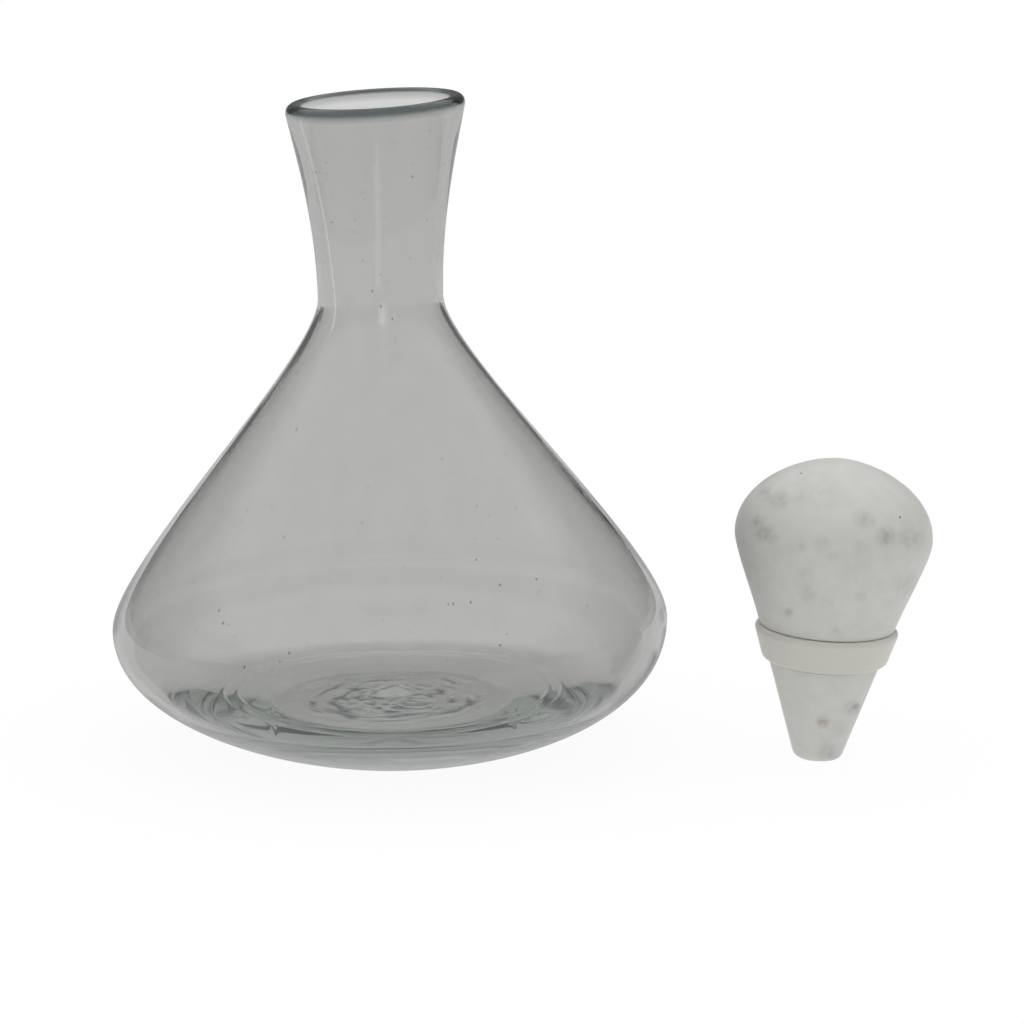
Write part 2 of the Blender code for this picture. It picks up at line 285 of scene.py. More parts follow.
def bezier(start, start_handle, end_handle, end, steps):
    """Points of a cubic curve, without its first one."""
    points = []
    for step in range(1, steps + 1):
        t = step / steps
        s = 1 - t
        weights = (s**3, 3 * s * s * t, 3 * s * t * t, t**3)
        corners = (start, start_handle, end_handle, end)
        points.append(tuple(sum(w * c[axis] for w, c in zip(weights, corners)) for axis in (0, 1)))
    return points


def arc(center, radius, start, end, steps):
    """Points of a round arc between two angles, both ends included."""
    angles = [start + (end - start) * step / steps for step in range(steps + 1)]
    return [(center[0] + radius * math.cos(a), center[1] + radius * math.sin(a)) for a in angles]


def between(start, end, part):
    return tuple(a + (b - a) * part for a, b in zip(start, end))


def smooth(part):
    """Eases from 0 to 1 as part goes from 0 to 1."""
    part = min(max(part, 0.0), 1.0)
    return part * part * (3 - 2 * part)


def bump(distance, width):
    """A soft bump, 1 at no distance and 0 at its width."""
    return 1 - smooth(abs(distance) / width)


# Glass

def glass_side(s, wall_at_belly, wall_at_waist, lip):
    """Side of the vessel from its belly up to the lip, moved inwards by the wall."""
    waist_height = s.belly_height + s.shoulder_height
    belly = (s.belly_radius - wall_at_belly, s.belly_height)
    waist = (s.waist_radius - wall_at_waist, waist_height)
    sweep = LIP_SWEEP * s.neck_height
    shoulder = bezier(
        belly,
        (belly[0], belly[1] + BELLY_FULLNESS * s.shoulder_height),
        (waist[0], waist[1] - WAIST_SWEEP_BELOW * s.shoulder_height),
        waist,
        SHOULDER_STEPS,
    )
    neck = bezier(
        waist,
        (waist[0], waist[1] + WAIST_SWEEP_ABOVE * s.neck_height),
        (lip[0] - sweep * math.sin(s.lip_flare), lip[1] - sweep * math.cos(s.lip_flare)),
        lip,
        NECK_STEPS,
    )
    return [belly] + shoulder + neck


def lip_height(s):
    return s.belly_height + s.shoulder_height + s.neck_height


def glass_sides(s):
    """The inner side, the bead of the lip and the outer side, from the inner belly to the outer one."""
    bead = s.lip_thickness / 2
    center = (s.lip_radius - bead, lip_height(s) - bead)
    across = (bead * math.cos(s.lip_flare), -bead * math.sin(s.lip_flare))
    inner = glass_side(s, s.belly_wall, s.neck_wall, (center[0] - across[0], center[1] - across[1]))
    outer = glass_side(s, 0.0, 0.0, (center[0] + across[0], center[1] + across[1]))
    lip = arc(center, bead, math.pi - s.lip_flare, -s.lip_flare, LIP_STEPS)
    return inner, lip[1:-1], outer


def bowl(s):
    """Outside of the bowl, from the belly down to the edge of the foot."""
    sweep = FOOT_SWEEP * (s.belly_radius - s.foot_radius)
    start = (s.belly_radius, s.belly_height)
    return [start] + bezier(
        start,
        (s.belly_radius, s.belly_height * (1 - BOWL_FULLNESS)),
        (s.foot_radius + sweep * math.cos(s.foot_rise), sweep * math.sin(s.foot_rise)),
        (s.foot_radius, 0.0),
        BOWL_STEPS,
    )


def moved_in(points, distance):
    """A curve that runs down and inwards, moved into the vessel."""
    moved = []
    for i, (r, z) in enumerate(points):
        before, after = points[max(i - 1, 0)], points[min(i + 1, len(points) - 1)]
        along = (after[0] - before[0], after[1] - before[1])
        size = math.hypot(*along)
        moved.append((r + along[1] / size * distance, z - along[0] / size * distance))
    moved[0] = (points[0][0] - distance, points[0][1])
    return moved


def base_radii(outer, creases=()):
    """Radii from the middle out, closer together round the creases."""
    count = math.ceil(outer / BASE_STEP)
    radii = [outer * i / count for i in range(count + 1)]
    for place in creases:
        radii = [r for r in radii if abs(r - place) > CREASE_WIDTH * CREASE_CLEAR]
        radii += [place + CREASE_WIDTH * i / CREASE_STEPS for i in range(-CREASE_STEPS, CREASE_STEPS + 1)]
    return sorted(radii)


def inner_floor(s):
    """From the middle of the inner floor out to the belly."""
    wall = moved_in(bowl(s), s.belly_wall)
    above = [p for p in wall if p[1] > s.floor_thickness + HEEL_RISE]
    below = next(p for p in wall if p[1] <= s.floor_thickness)
    corner = (below[0], s.floor_thickness)
    edge = (corner[0] - HEEL_RUN, s.floor_thickness)
    floor = []
    for r in base_radii(edge[0], [place for place, _ in CREASES]):
        rise = sum(height * bump(r - place, CREASE_WIDTH) for place, height in CREASES)
        rise += MOUND_HEIGHT * 0.5 * (1 + math.cos(math.pi * min(r / MOUND_RADIUS, 1.0)))
        floor.append((r, s.floor_thickness + rise))
    handles = between(edge, corner, HEEL_FULLNESS), between(above[-1], corner, HEEL_FULLNESS)
    return floor + bezier(edge, *handles, above[-1], HEEL_STEPS) + above[-2:0:-1]


def underside(s):
    """From the edge of the foot in to its middle."""
    return [(r, 0.0) for r in base_radii(s.foot_radius)][::-1]


def glass_outline(s):
    """From the middle of the inner floor round to the middle of the underside, and what is painted on it.

    The smoky skin lies on the outside and its reflections above the heel are darkened by painted shade, and
    the rim of the lip is painted dark as shade.
    """
    inner, lip, outer = glass_sides(s)
    inside = inner_floor(s) + inner
    outside = outer[::-1] + bowl(s)[1:-1]
    under = underside(s)
    points = inside + lip + outside + under
    over_the_lip = [(i + 1) / (len(lip) + 1) for i in range(len(lip))]
    skin = [0.0] * len(inside) + over_the_lip + [1.0] * (len(outside) + len(under))
    # painted shade on the skin's reflections, fading in between the two heights
    low, high = SHADED_MIRROR_HEIGHTS
    mirror = [covered * smooth((z - low) / (high - low)) for covered, (_, z) in zip(skin, points)]
    # painted shade on the rim of the lip, inside and out
    dark = []
    for r, z in points:
        start, full = RIM_OUTSIDE if r > s.lip_radius - s.lip_thickness / 2 else RIM_INSIDE
        dark.append(smooth((z - lip_height(s) + start) / (start - full)))
    return points, {"skin": skin, "mirror": mirror, "dark": dark}


def turn(name, outline, steps, closed=False, paint=None):
    """Draws an outline by extruding a vertex from point to point, paints its points, and spins it round Z."""
    bpy.ops.object.select_all(action="DESELECT")
    # a tiny plane, merged at its middle, leaves the first vertex
    bpy.ops.mesh.primitive_plane_add(size=MM, location=(outline[0][0], 0.0, outline[0][1]))
    piece = bpy.context.object
    piece.name = piece.data.name = name
    bpy.ops.object.transform_apply(location=True, rotation=True, scale=True)
    bpy.ops.object.mode_set(mode="EDIT")
    bpy.ops.mesh.select_all(action="SELECT")
    bpy.ops.mesh.merge(type="CENTER")
    for here, there in zip(outline, outline[1:]):
        step = (there[0] - here[0], 0.0, there[1] - here[1])
        bpy.ops.mesh.extrude_vertices_move(TRANSFORM_OT_translate={"value": step})
    bpy.ops.object.mode_set(mode="OBJECT")
    for label, values in (paint or {}).items():
        piece.data.attributes.new(label, "FLOAT", "POINT").data.foreach_set("value", values)
    if closed:
        piece.data.vertices[0].select = True
    bpy.ops.object.mode_set(mode="EDIT")
    if closed:
        bpy.ops.mesh.edge_face_add()
    bpy.ops.mesh.select_all(action="SELECT")
    bpy.ops.mesh.spin(steps=steps, angle=2 * math.pi, center=(0, 0, 0), axis=(0, 0, 1))
    bpy.ops.mesh.select_all(action="SELECT")
    bpy.ops.mesh.remove_doubles(threshold=WELD)
    bpy.ops.mesh.normals_make_consistent(inside=False)
    bpy.ops.object.mode_set(mode="OBJECT")
    bpy.ops.object.shade_smooth()
    return piece


def read(piece, field):
    """Places or normals of a piece's vertices, as an array."""
    found = np.empty(len(piece.data.vertices) * 3, dtype=np.float32)
    piece.data.vertices.foreach_get(field, found)
    return found.reshape(-1, 3).astype(float)


def put(piece, found):
    piece.data.vertices.foreach_set("co", found.astype(np.float32).ravel())
    piece.data.update()


def lean_and_skew(s, x, z):
    """Where a point of the true turned vessel lies on the one that was blown by hand."""
    waist_height = s.belly_height + s.shoulder_height
    lean = s.body_lean * smooth(z / s.belly_height)
    z += x * math.tan(s.lip_skew) * smooth((z - waist_height) / s.neck_height)
    return x * math.cos(lean) - z * math.sin(lean), z * math.cos(lean) + x * math.sin(lean)


def ripple(x, y):
    """Share of the chill ripples under the base, in arcs round the middle."""
    r = math.hypot(x, y)
    around = math.atan2(y, x) * 0.5 * RIPPLE_REACH[1] / RIPPLE_SPREAD
    wave = noise.noise(Vector((r / RIPPLE_LENGTH * 2, around * 2, RIPPLE_DRAW)))
    start, end = RIPPLE_REACH
    return max(0.5 + wave, 0.0) * bump(max(r - start, 0.0), end - start)


def unevenness(x, y, z, side):
    """How far a point of the wall lies out of the true shape, by slow waves and by cords down the side."""
    slow = noise.noise(Vector((x, y, z)) / WAVE_LENGTH + Vector((side, 0, 0)))
    turned = math.atan2(y, x) + CORD_TWIST * z
    around = Vector((math.cos(turned), math.sin(turned), 0)) * CORDS_AROUND
    cords = noise.noise(around + Vector((side, 0, z / CORD_LENGTH)))
    return WAVE_HEIGHT * (slow - 1) / 2 + CORD_HEIGHT * (cords - 1) / 2


def marks(s, x, y, z):
    """Shares of the thread, its drop and the scratch on the outside of the neck, on the viewer's side."""
    if y > 0 or z < DROP_PLACE[1] - DROP_WIDTH * DROP_STRETCH:
        return 0.0, 0.0, 0.0
    hung, level = lean_and_skew(s, x, z)
    thread = bump(hung - THREAD_ASIDE, THREAD_WIDTH)
    thread *= smooth((THREAD_TOP - level) / THREAD_FADES[0]) * smooth((level - THREAD_END) / THREAD_FADES[1])
    drop = bump(math.hypot(hung - DROP_PLACE[0], (level - DROP_PLACE[1]) / DROP_STRETCH), DROP_WIDTH)
    down = (z - SCRATCH_HEIGHTS[0]) / (SCRATCH_HEIGHTS[1] - SCRATCH_HEIGHTS[0])
    off_line = math.atan2(-x, -y) - SCRATCH_TURN[0] - (SCRATCH_TURN[1] - SCRATCH_TURN[0]) * down
    scratch = bump(off_line * math.hypot(x, y), SCRATCH_WIDTH) * smooth((SCRATCH_TOP - z) / SCRATCH_FADE)
    return thread, drop, scratch


def shape_by_hand(s, piece):
    """Gives the turned vessel the unevenness of a blown one, and lightens its tint along the marks on the
    neck as a painted highlight.
    """
    found = read(piece, "co")
    normals = read(piece, "normal")
    layers = [piece.data.attributes[label].data for label in ("skin", "dark")]
    skin, dark = (np.empty(len(found), dtype=np.float32) for _ in layers)
    layers[0].foreach_get("value", skin)
    layers[1].foreach_get("value", dark)
    for i, (place, normal) in enumerate(zip(found, normals)):
        x, y, z = place
        outer = skin[i]
        if outer == 1.0 and z < WELD and math.hypot(x, y) < s.foot_radius:
            wave = ripple(x, y)
            z += RIPPLE_HEIGHT * wave
            # painted shade on the crests of the ripples
            dark[i] = RIPPLE_PAINTED_SHADE * smooth((wave - RIPPLE_CREST[0]) / RIPPLE_CREST[1])
        else:
            out = unevenness(x, y, z, SKIN_DRAW * round(outer))
            out *= smooth((z - EVEN_BELOW) / EVEN_FADE) * smooth((lip_height(s) - z) / EVEN_FADE)
            if outer == 1.0:
                marked = marks(s, x, y, z)
                out += max(mark * height for mark, height in zip(marked, MARK_HEIGHTS))
                # painted highlight: the thread, the drop and the scratch are made lighter than the glass
                # around them
                skin[i] -= max(mark * loss for mark, loss in zip(marked, MARK_PAINTED_LIGHT))
            x, y, z = place + normal * out
        x, z = lean_and_skew(s, x, z)
        place[:] = (x, y, z)
    put(piece, found)
    layers[0].foreach_set("value", skin)
    layers[1].foreach_set("value", dark)


def make_seeds(s, piece):
    """Small bubbles in the wall, drawn out along it, joined to the glass they are in."""
    inner, _, outer = glass_sides(s)
    draw = random.Random(7)
    bpy.ops.object.select_all(action="DESELECT")
    bpy.ops.mesh.primitive_ico_sphere_add(subdivisions=1, radius=1.0)
    seed = bpy.context.object
    bpy.ops.object.mode_set(mode="EDIT")
    bpy.ops.mesh.select_all(action="SELECT")
    bpy.ops.mesh.flip_normals()
    bpy.ops.object.mode_set(mode="OBJECT")
    bpy.ops.object.shade_smooth()
    seeds = []
    while len(seeds) < s.seed_count:
        i = draw.randrange(2, len(outer) - 2)
        middle = between(inner[i], outer[i], draw.uniform(*SEED_DEPTHS))
        if draw.random() > middle[0] / s.belly_radius:
            continue
        turned = draw.uniform(0, 2 * math.pi)
        along = Vector((outer[i + 1][0] - outer[i - 1][0], 0.0, outer[i + 1][1] - outer[i - 1][1]))
        size = SEED_SIZE + SEED_SPREAD * draw.random() ** 2
        stretch = draw.uniform(*SEED_STRETCH)
        place = Vector((middle[0] * math.cos(turned), middle[0] * math.sin(turned), middle[1]))
        place.x, place.z = lean_and_skew(s, place.x, place.z)
        aim = Matrix.Rotation(turned, 4, "Z") @ along.to_track_quat("Z", "Y").to_matrix().to_4x4()
        one = seed.copy()
        one.data = seed.data.copy()
        one.data.transform(Matrix.Translation(place) @ aim @ Matrix.Diagonal((size, size, size * stretch, 1)))
        bpy.context.collection.objects.link(one)
        seeds.append(one)
    bpy.data.objects.remove(seed)
    bpy.ops.object.select_all(action="DESELECT")
    for one in seeds + [piece]:
        one.select_set(True)
    bpy.context.view_layer.objects.active = piece
    bpy.ops.object.join()


# Materials

def add_node(tree, kind, values=None, joins=None, **settings):
    """Adds a node, with its settings, the values of its inputs and the sockets that feed them."""
    made = tree.nodes.new(kind)
    for key, value in settings.items():
        setattr(made, key, value)
    for key, value in (values or {}).items():
        made.inputs[key].default_value = value
    for key, socket in (joins or {}).items():
        tree.links.new(socket, made.inputs[key])
    return made


def new_material(name):
    """A material with its node tree, its shader and its output node."""
    made = bpy.data.materials.new(name)
    made.use_nodes = True
    nodes = made.node_tree.nodes
    return made, made.node_tree, nodes["Principled BSDF"], nodes["Material Output"]


def times(tone, factor):
    """A colour made darker or lighter."""
    return tuple(factor * c for c in tone)


def mix(tree, part, first, second):
    """Socket of a colour that goes from the first to the second, each a colour or a socket."""
    node = add_node(tree, "ShaderNodeMix", joins={0: part}, data_type="RGBA")
    for place, value in ((6, first), (7, second)):
        if isinstance(value, bpy.types.NodeSocket):
            tree.links.new(value, node.inputs[place])
        else:
            node.inputs[place].default_value = (*value, 1)
    return node.outputs[2]


def blown_soda_glass(s):
    """Soda-lime glass from recycled cullet, mouth-blown and fire-polished.

    Its outer skin is smoky and faintly streaked, since it was drawn out with the gather, and painted shade
    dulls what it mirrors at a low angle. Thick glass is green. The rim of the lip and the ripples under the
    base are painted dark as shade.
    """
    made, tree, shader, output = new_material("blown soda-lime glass")
    coords = add_node(tree, "ShaderNodeTexCoord")
    scale = {"Scale": tuple(1 / size for size in STREAK_SIZES)}
    drawn = add_node(tree, "ShaderNodeMapping", scale, {"Vector": coords.outputs["Object"]}).outputs[0]
    streaks = add_node(tree, "ShaderNodeTexNoise", {"Scale": 1.0, "Detail": 2.0}, {"Vector": drawn})
    smoke = mix(tree, streaks.outputs["Fac"], *(times(s.tint, factor) for factor in STREAK_RANGE))
    skin, mirror, dark = (
        add_node(tree, "ShaderNodeAttribute", attribute_name=label).outputs["Fac"]
        for label in ("skin", "mirror", "dark")
    )
    # the dark tint is painted shade on the lip's rim and on the ripples under the base
    through = mix(tree, dark, mix(tree, skin, (1, 1, 1), smoke), s.painted_shade_tint)
    tree.links.new(through, shader.inputs["Base Color"])
    # painted shade: what the skin mirrors above the heel is darkened
    tree.links.new(mix(tree, mirror, (1, 1, 1), s.mirror_shade_tint), shader.inputs["Specular Tint"])
    shader.inputs["Roughness"].default_value = 0.0
    shader.inputs["IOR"].default_value = GLASS_IOR
    shader.inputs["Transmission Weight"].default_value = 1.0

    # painted shade: a black film dulls what the skin mirrors at a low angle, from the outside only
    gloss = add_node(tree, "ShaderNodeFresnel", {"IOR": GLASS_IOR}).outputs[0]
    inside = add_node(tree, "ShaderNodeNewGeometry").outputs["Backfacing"]
    loss = add_node(
        tree, "ShaderNodeMath", {0: s.mirror_shade_loss}, {1: inside}, operation="SUBTRACT", use_clamp=True
    )
    dull = add_node(tree, "ShaderNodeMath", joins={0: gloss, 1: loss.outputs[0]}, operation="MULTIPLY")
    on_skin = add_node(tree, "ShaderNodeMath", joins={0: dull.outputs[0], 1: skin}, operation="MULTIPLY")
    edge_shade = add_node(tree, "ShaderNodeBsdfDiffuse", {"Color": (0, 0, 0, 1)})
    parts = {0: on_skin.outputs[0], 1: shader.outputs[0], 2: edge_shade.outputs[0]}
    surface = add_node(tree, "ShaderNodeMixShader", joins=parts)
    tree.links.new(surface.outputs[0], output.inputs["Surface"])

    depth = add_node(tree, "ShaderNodeVolumeAbsorption", {"Color": (*s.depth_tint, 1), "Density": s.depth})
    tree.links.new(depth.outputs[0], output.inputs["Volume"])
    return made


def grain_at(tree, place, middle):
    """Socket that is 1 in a small dark grain and 0 around it."""
    away = add_node(tree, "ShaderNodeVectorMath", {1: middle}, {0: place}, operation="DISTANCE")
    inside = add_node(
        tree, "ShaderNodeMapRange",
        {"From Min": SPECK_SIZE * 0.5, "From Max": SPECK_SIZE, "To Min": 1.0, "To Max": 0.0},
        {"Value": away.outputs["Value"]},
    )
    return inside.outputs[0]


def honed_marble(s, specks):
    """White marble, turned and honed.

    Matt and slightly translucent, with soft grey clouds, a few brown spots and dark grains.
    """
    made, tree, shader, _ = new_material("honed white marble")
    coords = add_node(tree, "ShaderNodeTexCoord")
    place = coords.outputs["Object"]
    on_stone = {"Vector": place}
    mottle = add_node(tree, "ShaderNodeTexNoise", {"Scale": 1 / MOTTLE_SIZE, "Detail": 6.0}, on_stone)
    ground = mix(tree, mottle.outputs["Fac"], *(times(s.marble, factor) for factor in MOTTLE_RANGE))
    broken = add_node(tree, "ShaderNodeTexNoise", {"Scale": 1 / BREAK_SIZE, "Detail": 4.0}, on_stone)
    share_of = {"From Min": 0.32, "From Max": 0.68, "To Min": 0.25, "To Max": 1.0}
    breaks = add_node(tree, "ShaderNodeMapRange", share_of, {"Value": broken.outputs["Fac"]})
    shade = ground
    for label, tone in (("cloud", s.vein), ("rust", s.rust)):
        painted = add_node(tree, "ShaderNodeAttribute", attribute_name=label).outputs["Fac"]
        parts = {0: painted, 1: breaks.outputs[0]}
        part = add_node(tree, "ShaderNodeMath", joins=parts, operation="MULTIPLY")
        shade = mix(tree, part.outputs[0], shade, tone)
    for middle in specks:
        shade = mix(tree, grain_at(tree, place, middle), shade, s.speck)
    tree.links.new(shade, shader.inputs["Base Color"])
    shader.inputs["Roughness"].default_value = 0.5
    shader.inputs["IOR"].default_value = 1.49
    shader.inputs["Subsurface Weight"].default_value = 0.15
    shader.inputs["Subsurface Radius"].default_value = (1.0, 0.9, 0.8)
    shader.inputs["Subsurface Scale"].default_value = 0.003
    grit = add_node(tree, "ShaderNodeTexNoise", {"Scale": 1 / GRIT_SIZE, "Detail": 2.0}, on_stone)
    relief = add_node(
        tree, "ShaderNodeBump", {"Strength": 0.25, "Distance": GRIT_HEIGHT}, {"Height": grit.outputs["Fac"]}
    )
    tree.links.new(relief.outputs[0], shader.inputs["Normal"])
    return made


def moulded_silicone(s):
    """Clear silicone rubber, moulded in a satin tool.

    It lets the marble show through, a little clouded, and its edges against the stone are olive-brown.
    """
    made, tree, shader, _ = new_material("moulded silicone rubber")
    place = add_node(tree, "ShaderNodeTexCoord").outputs["Object"]
    haze = add_node(tree, "ShaderNodeTexNoise", {"Scale": 1 / HAZE_SIZE}, {"Vector": place})
    clear, clouded = HAZE_ROUGHNESS
    matt = add_node(
        tree, "ShaderNodeMapRange", {"To Min": clear, "To Max": clouded}, {"Value": haze.outputs["Fac"]}
    )
    tree.links.new(matt.outputs[0], shader.inputs["Roughness"])
    edge = add_node(tree, "ShaderNodeAttribute", attribute_name="edge")
    tree.links.new(mix(tree, edge.outputs["Fac"], s.silicone, s.silicone_edge), shader.inputs["Base Color"])
    shader.inputs["IOR"].default_value = 1.41
    shader.inputs["Transmission Weight"].default_value = 0.35
    return made


def paper_floor(s):
    """Matt white paper, lit from under as well."""
    made, _, shader, _ = new_material("matt white paper")
    shader.inputs["Base Color"].default_value = (*[c * (1 - s.glow) for c in s.paper], 1)
    shader.inputs["Emission Color"].default_value = (*s.paper, 1)
    shader.inputs["Emission Strength"].default_value = s.glow
    shader.inputs["Roughness"].default_value = 1.0
    shader.inputs["Specular IOR Level"].default_value = 0.0
    return made


# Stopper

class StopperCurves:
    """The sizes of the stopper that follow from its settings and from the neck that it closes."""

    def __init__(self, s, glass):
        self.s = s
        seat = lip_height(glass) - s.seat_depth
        inner = glass_sides(glass)[0]
        above = next(i for i, point in enumerate(inner) if point[1] >= seat)
        low, high = inner[above - 1], inner[above]
        neck_radius = low[0] + (high[0] - low[0]) * (seat - low[1]) / (high[1] - low[1])
        self.ring_radius = neck_radius - s.seal_clearance
        self.slope = math.atan2(self.ring_radius - s.ring_proud - s.tip_radius, s.shank_height)
        self.ring_top = s.shank_height + RING_TOP_ROUNDING
        self.ring_bottom = self.ring_top - s.ring_height
        self.head_height = s.shank_height + s.flare_height
        self.head_radius = glass.lip_radius - glass.lip_thickness + s.head_overhang
        self.top = self.head_height + s.dome_height
        self.flat = s.tip_radius - s.tip_rounding * (1 - math.sin(self.slope)) / math.cos(self.slope)

    def shank(self, height, inset=0.0):
        """Point on the cone of the shank, or inset from it."""
        return (self.s.tip_radius + height * math.tan(self.slope) - inset, height)

    def stone(self):
        """From the top of the dome down to the middle of the tip."""
        s = self.s
        widest = (self.head_radius, self.head_height)
        start = self.shank(self.ring_top + FIT_GAP)
        rise = self.head_height - start[1]
        sweep = HEAD_FLARE_SWEEP * rise
        dome = bezier(
            (0.0, self.top),
            (DOME_FLATNESS * self.head_radius, self.top),
            (self.head_radius, self.head_height + DOME_FULLNESS * s.dome_height),
            widest,
            DOME_STEPS,
        )
        flare = bezier(
            widest,
            (self.head_radius, self.head_height - HEAD_FULLNESS_BELOW * rise),
            (start[0] + sweep * math.sin(self.slope), start[1] + sweep * math.cos(self.slope)),
            start,
            FLARE_STEPS,
        )
        groove_ends = (self.ring_top + FIT_GAP, self.ring_bottom - FIT_GAP)
        groove = [self.shank(height, s.groove_depth) for height in groove_ends]
        ends = (self.shank(groove_ends[1]), self.shank(s.tip_rounding))
        below = [between(*ends, i / SHANK_STEPS) for i in range(SHANK_STEPS)]
        tip = arc((self.flat, s.tip_rounding), s.tip_rounding, -self.slope, -math.pi / 2, ROUNDING_STEPS)
        inward = [(self.flat * (1 - i / ROUNDING_STEPS), 0.0) for i in range(1, ROUNDING_STEPS + 1)]
        return [(0.0, self.top)] + dome + flare + groove + below + tip + inward

    def ring(self):
        """Section of the ring, from its inner top edge down outside, and the share of edge at its points."""
        s = self.s
        inset = s.groove_depth - FIT_GAP
        top_center = (self.ring_radius - RING_TOP_ROUNDING, self.ring_top - RING_TOP_ROUNDING)
        low = self.ring_bottom + RING_BOTTOM_ROUNDING
        low_center = (self.shank(low)[0] + s.ring_proud - RING_BOTTOM_ROUNDING, low)
        outside = arc(top_center, RING_TOP_ROUNDING, math.pi / 2, -self.slope, ROUNDING_STEPS)
        lower = arc(low_center, RING_BOTTOM_ROUNDING, -self.slope, -math.pi / 2, ROUNDING_STEPS)
        side = [between(outside[-1], lower[0], i / ROUNDING_STEPS) for i in range(1, ROUNDING_STEPS)]
        corners = self.shank(self.ring_top, inset), self.shank(self.ring_bottom, inset)
        faces = between(corners[0], outside[0], EDGE_WIDTH), between(corners[1], lower[-1], EDGE_WIDTH)
        inner = between(corners[1], corners[0], EDGE_WIDTH), between(corners[0], corners[1], EDGE_WIDTH)
        plain = [faces[0]] + outside + side + lower + [faces[1]]
        return [corners[0]] + plain + [corners[1], *inner], [1.0] + [0.0] * len(plain) + [1.0, 0.0, 0.0]


def tip_place():
    for mount in frame["record"]["mounts"]:
        if mount["name"] == "stopper_tip":
            return mount["pos_m"]
    raise RuntimeError("The record has no mount named stopper_tip, so the stopper has no place to stand.")


def stand_up(s, curves, piece):
    """Turns a piece of the stopper into its lean, with its tip on the table."""
    tip = tip_place()
    sunk = curves.flat * math.sin(math.hypot(s.lean_aside, s.lean_forward))
    lean = Euler((s.lean_forward, s.lean_aside, 0.0)).to_matrix().to_4x4()
    piece.data.transform(Matrix.Translation((tip[0], tip[1], -sunk)) @ lean)
    piece.data.update()


def grind_flat(piece):
    """Takes off what is under the table's top."""
    bpy.ops.object.select_all(action="DESELECT")
    piece.select_set(True)
    bpy.context.view_layer.objects.active = piece
    bpy.ops.object.mode_set(mode="EDIT")
    bpy.ops.mesh.select_all(action="SELECT")
    bpy.ops.mesh.bisect(
        plane_co=(0, 0, 0), plane_no=(0, 0, 1), use_fill=True, clear_inner=True, threshold=WELD
    )
    bpy.ops.object.mode_set(mode="OBJECT")


def seen_from_the_front(stage, x, y, z):
    """Where a viewer sees a point of the stopper, moved onto the upright plane that touches its head."""
    out, up = y + stage.eye_distance, z - stage.eye_height
    nearer = SPOT_DISTANCE / (out * math.cos(stage.eye_pitch) - up * math.sin(stage.eye_pitch))
    rise = up * math.cos(stage.eye_pitch) + out * math.sin(stage.eye_pitch)
    return stage.eye_aside + (x - stage.eye_aside) * nearer, SPOT_LEVEL + SPOT_RISE * rise * nearer


def paint_stone(piece, stage):
    """Paints the clouds and the brown spots: at the listed places on the viewer's side, by chance on the far
    side.
    """
    tip = tip_place()
    cloud, rust = [], []
    for x, y, z in read(piece, "co"):
        beside, above = seen_from_the_front(stage, x, y, z)
        aside, height = (beside - tip[0]) / MM, above / MM
        front = smooth(0.5 - (y - tip[1]) / FRONT_FADE)
        for spots, painted in ((CLOUDS, cloud), (RUST_SPOTS, rust)):
            found = max(
                power * bump(math.hypot(aside - a, height - h), CLOUD_REACH * size)
                for a, h, size, power in spots
            )
            painted.append(found * front)
        chance = noise.fractal(Vector((x, y, z)) / FAR_CLOUD_SIZE, 1.0, 2.0, 3)
        cloud[-1] += smooth((chance - FAR_CLOUD_LEVEL[0]) / FAR_CLOUD_LEVEL[1]) * (1 - front)
    for label, values in (("cloud", cloud), ("rust", rust)):
        piece.data.attributes.new(label, "FLOAT", "POINT").data.foreach_set("value", values)


def speck_places(piece):
    """Places of the dark grains on the viewer's side of the stone."""
    tip = tip_place()
    places = []
    for aside, height in SPECKS:
        found, place, _, _ = piece.ray_cast((tip[0] + aside * MM, -1.0, height * MM), (0.0, 1.0, 0.0))
        if not found:
            raise RuntimeError("A dark grain lies beside the stopper, so it has no place on the stone.")
        places.append(tuple(place))
    return places


def finish_piece(piece, material, body, node):
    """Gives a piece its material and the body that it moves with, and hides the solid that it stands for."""
    piece.data.materials.clear()
    piece.data.materials.append(material)
    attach(piece, body)
    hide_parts(node)


# Operators

class DECANTER_OT_glass(bpy.types.Operator):
    """Turns the vessel from its outline, and gives it the unevenness and the seeds of blown glass"""

    bl_idname = "decanter.glass"
    bl_label = "Blow the glass"

    def execute(self, context):
        s = context.scene.decanter_glass
        outline, paint = glass_outline(s)
        piece = turn("blown_glass", outline, GLASS_TURN, paint=paint)
        shape_by_hand(s, piece)
        make_seeds(s, piece)
        finish_piece(piece, blown_soda_glass(s), "decanter", "glass_decanter")
        return {"FINISHED"}


class DECANTER_OT_stopper(bpy.types.Operator):
    """Turns the marble stopper, and grinds its tip level where it stands"""

    bl_idname = "decanter.stopper"
    bl_label = "Turn the stopper"

    def execute(self, context):
        s = context.scene.decanter_stopper
        curves = StopperCurves(s, context.scene.decanter_glass)
        piece = turn("stopper_marble", curves.stone(), STONE_TURN)
        stand_up(s, curves, piece)
        grind_flat(piece)
        piece.data.set_sharp_from_angle(angle=SHARP_EDGE)
        paint_stone(piece, context.scene.decanter_stage)
        context.view_layer.update()
        finish_piece(piece, honed_marble(s, speck_places(piece)), "stopper", "marble_stopper")
        return {"FINISHED"}


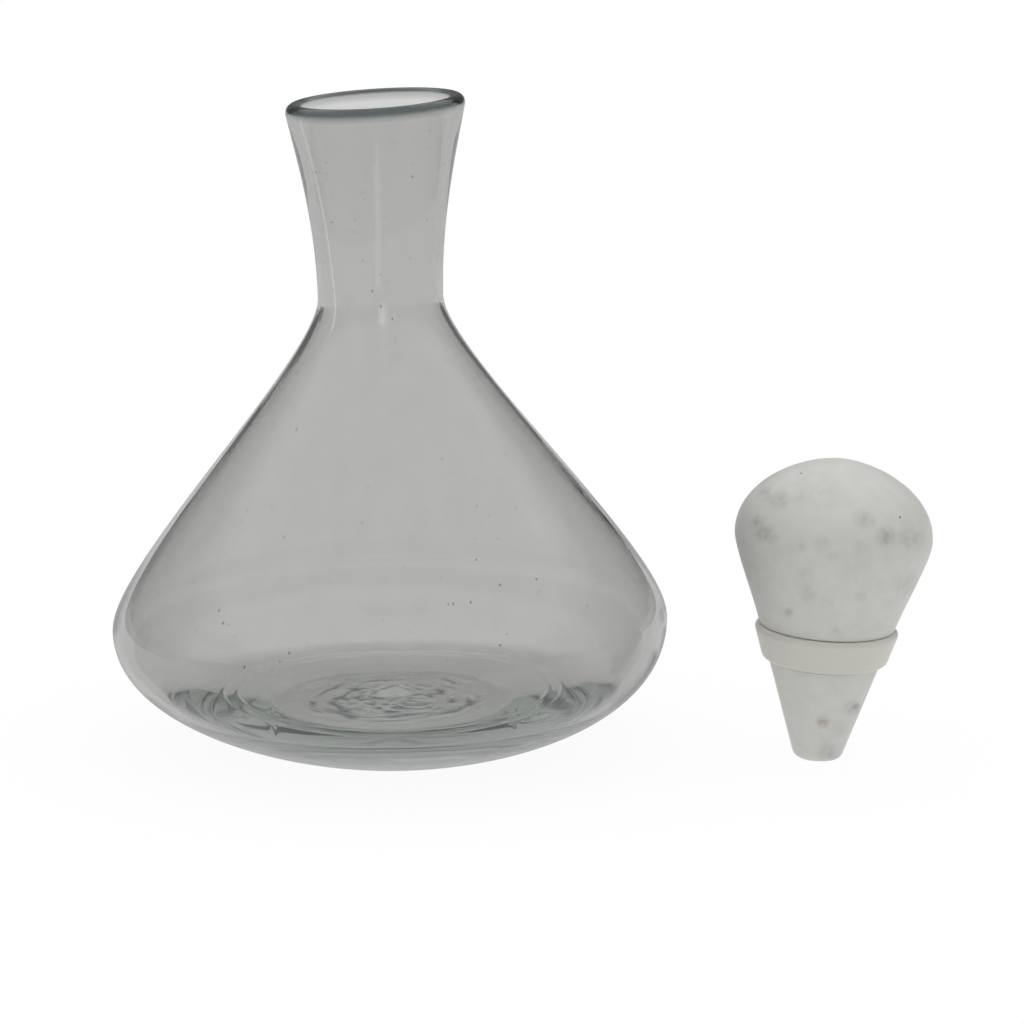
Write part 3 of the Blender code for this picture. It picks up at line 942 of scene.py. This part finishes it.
class DECANTER_OT_ring(bpy.types.Operator):
    """Moulds the seal ring in its groove"""

    bl_idname = "decanter.ring"
    bl_label = "Mould the ring"

    def execute(self, context):
        s = context.scene.decanter_stopper
        curves = StopperCurves(s, context.scene.decanter_glass)
        section, edge = curves.ring()
        piece = turn("stopper_seal", section, RING_TURN, closed=True, paint={"edge": edge})
        stand_up(s, curves, piece)
        piece.data.set_sharp_from_angle(angle=SHARP_EDGE)
        finish_piece(piece, moulded_silicone(s), "stopper", "seal_ring")
        return {"FINISHED"}


class DECANTER_OT_stage(bpy.types.Operator):
    """Sets the floor, the light and the camera"""

    bl_idname = "decanter.stage"
    bl_label = "Set the stage"

    def execute(self, context):
        s = context.scene.decanter_stage
        bpy.ops.mesh.primitive_plane_add(size=FLOOR_SIZE, location=(0, 0, -FLOOR_DROP))
        floor = context.object
        floor.name = "floor"
        bpy.ops.object.transform_apply(location=True, rotation=True, scale=True)
        floor.data.materials.append(paper_floor(s))

        world = bpy.data.worlds.new("soft studio")
        world.use_nodes = True
        tree = world.node_tree
        coords = add_node(tree, "ShaderNodeTexCoord")
        split = add_node(tree, "ShaderNodeSeparateXYZ", joins={0: coords.outputs["Generated"]})
        rise = add_node(
            tree, "ShaderNodeMapRange",
            {"From Min": SKY_RISE[0], "From Max": SKY_RISE[1], "To Min": s.low_sky, "To Max": s.high_sky},
            {"Value": split.outputs["Z"]},
        )
        tree.nodes["Background"].inputs["Color"].default_value = (1, 1, 1, 1)
        tree.links.new(rise.outputs[0], tree.nodes["Background"].inputs["Strength"])
        context.scene.world = world

        bpy.ops.object.camera_add(
            location=(s.eye_aside, -s.eye_distance, s.eye_height),
            rotation=(math.pi / 2 - s.eye_pitch, 0.0, 0.0),
        )
        camera = context.object
        camera.data.lens = s.lens
        camera.data.sensor_width = SENSOR_WIDTH
        context.scene.camera = camera
        context.scene.view_settings.view_transform = "Standard"

        # light is totally reflected many times inside the thick base before it leaves it
        context.scene.cycles.max_bounces = BOUNCES
        context.scene.cycles.glossy_bounces = BOUNCES
        context.scene.cycles.transmission_bounces = BOUNCES
        return {"FINISHED"}


class DECANTER_PT_panel(bpy.types.Panel):
    bl_idname = "DECANTER_PT_panel"
    bl_label = "Decanter"
    bl_space_type = "VIEW_3D"
    bl_region_type = "UI"
    bl_category = "Decanter"

    def draw(self, context):
        for operator in OPERATORS:
            self.layout.operator(operator.bl_idname)
        scene = context.scene
        for group in (scene.decanter_glass, scene.decanter_stopper, scene.decanter_stage):
            box = self.layout.box()
            for name in group.bl_rna.properties.keys():
                if name not in ("rna_type", "name"):
                    box.prop(group, name)


OPERATORS = (DECANTER_OT_glass, DECANTER_OT_stopper, DECANTER_OT_ring, DECANTER_OT_stage)
CLASSES = (GlassSettings, StopperSettings, StageSettings, DECANTER_PT_panel) + OPERATORS


def register():
    for kind in CLASSES:
        bpy.utils.register_class(kind)
    bpy.types.Scene.decanter_glass = PointerProperty(type=GlassSettings)
    bpy.types.Scene.decanter_stopper = PointerProperty(type=StopperSettings)
    bpy.types.Scene.decanter_stage = PointerProperty(type=StageSettings)


def unregister():
    del bpy.types.Scene.decanter_stage
    del bpy.types.Scene.decanter_stopper
    del bpy.types.Scene.decanter_glass
    for kind in reversed(CLASSES):
        bpy.utils.unregister_class(kind)


def main():
    register()
    bpy.ops.decanter.glass()
    bpy.ops.decanter.stopper()
    bpy.ops.decanter.ring()
    bpy.ops.decanter.stage()


if __name__ == "__main__":
    main()
